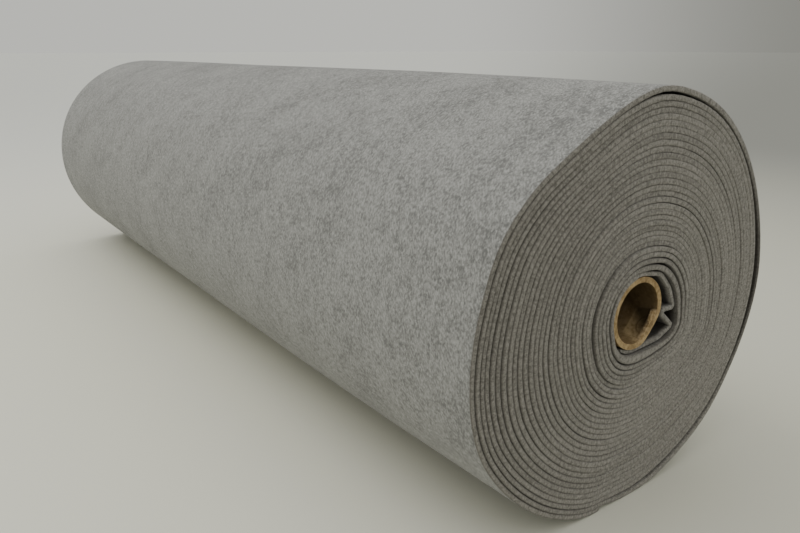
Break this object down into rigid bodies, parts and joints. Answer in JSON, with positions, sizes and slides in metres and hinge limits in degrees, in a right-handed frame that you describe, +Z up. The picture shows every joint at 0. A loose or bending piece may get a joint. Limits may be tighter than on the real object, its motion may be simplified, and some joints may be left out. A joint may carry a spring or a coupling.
{
  "type": "roll of felt",
  "caption": "Wide roll of thick grey needled felt lying on its side, wound on a cardboard core, with a slack outer wrap and a crumpled inner end showing at the open end.",
  "frame": {"origin": "on the floor, under the middle of the roll", "axes": "+X along the roll's axis towards its open end, +Y towards the slack side of the outer wrap, +Z up"},
  "size_m": [0.9022, 0.2742, 0.2618],
  "materials": {
    "felt": "matt marled grey needled felt",
    "felt_edge": "matt cut felt, darker than the face",
    "cardboard": "bare wound paper tube, torn at one rim"
  },
  "bodies": {
    "root": {"felt_roll": "felt", "inner_end": "felt_edge", "cardboard_core": "cardboard"}
  },
  "joints": []
}
